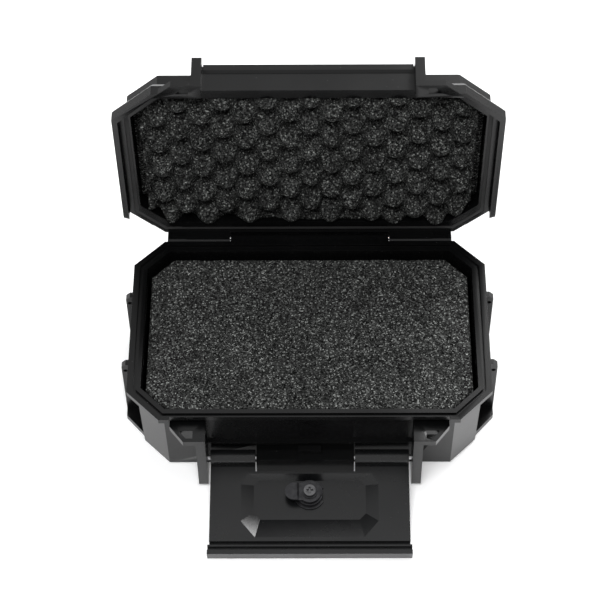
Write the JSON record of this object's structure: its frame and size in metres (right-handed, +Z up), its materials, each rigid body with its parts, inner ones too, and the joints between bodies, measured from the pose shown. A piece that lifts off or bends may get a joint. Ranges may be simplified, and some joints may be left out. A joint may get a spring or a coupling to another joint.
{
  "type": "binocular hard case",
  "caption": "Eight-sided moulded hard case with a hinged lid, a fold-down front latch plate with a cam lock, padlock tabs and foam lining, shown open.",
  "frame": {"origin": "centre of the base's flat underside, halfway between the front and rear edges of the base's rim", "axes": "+Z up, -Y towards the front where the latch is, +X to the viewer's right when the latch faces the viewer; drawn with the lid open upright and the latch plate folded down"},
  "size_m": [0.2324, 0.2237, 0.2033],
  "materials": {
    "shell_plastic": "near-black moulded plastic, semi-matte",
    "latch_plastic": "near-black moulded plastic, semi-matte",
    "foam": "charcoal open-cell foam, soft and matte",
    "foam_pad": "charcoal foam, hidden",
    "seal_rubber": "dark foam rubber cord",
    "pin_steel": "plain drawn wire",
    "lock_steel": "dark plated steel",
    "cam_steel": "dark plated steel",
    "plug_steel": "plated die casting",
    "spring_steel": "spring steel",
    "washer_steel": "plated steel",
    "wafer_brass": "stamped brass"
  },
  "bodies": {
    "base": {"base_shell": "shell_plastic", "base_foam": "foam", "base_floor_pad": "foam_pad", "hinge_pin_left": "pin_steel", "hinge_pin_right": "pin_steel", "latch_pin_left": "pin_steel", "latch_pin_right": "pin_steel"},
    "lid": {"lid_shell": "shell_plastic", "lid_gasket": "seal_rubber", "lid_foam": "foam"},
    "latch": {"latch_plate": "latch_plastic", "lock_body": "lock_steel", "lock_clip": "spring_steel"},
    "lock": {"lock_plug": "plug_steel", "lock_wafers": "wafer_brass", "wafer_springs": "spring_steel", "lock_stop_washer": "washer_steel", "lock_cam": "cam_steel", "cam_washer": "washer_steel", "cam_screw": "lock_steel"}
  },
  "joints": [
    {"name": "lid_hinge", "type": "hinge", "parent": "base", "child": "lid", "pos_m": [0, 0.0712, 0.0545], "axis": [1, 0, 0], "range_deg": [0, 90]},
    {"name": "latch_hinge", "type": "hinge", "parent": "base", "child": "latch", "pos_m": [0, -0.06725, 0.018], "axis": [-1, 0, 0], "range_deg": [0, 99.3]},
    {"name": "lock_turn", "type": "hinge", "parent": "latch", "child": "lock", "pos_m": [0, -0.08975, 0.01431], "axis": [0, 0.1616, -0.9869], "range_deg": [0, 90]}
  ]
}
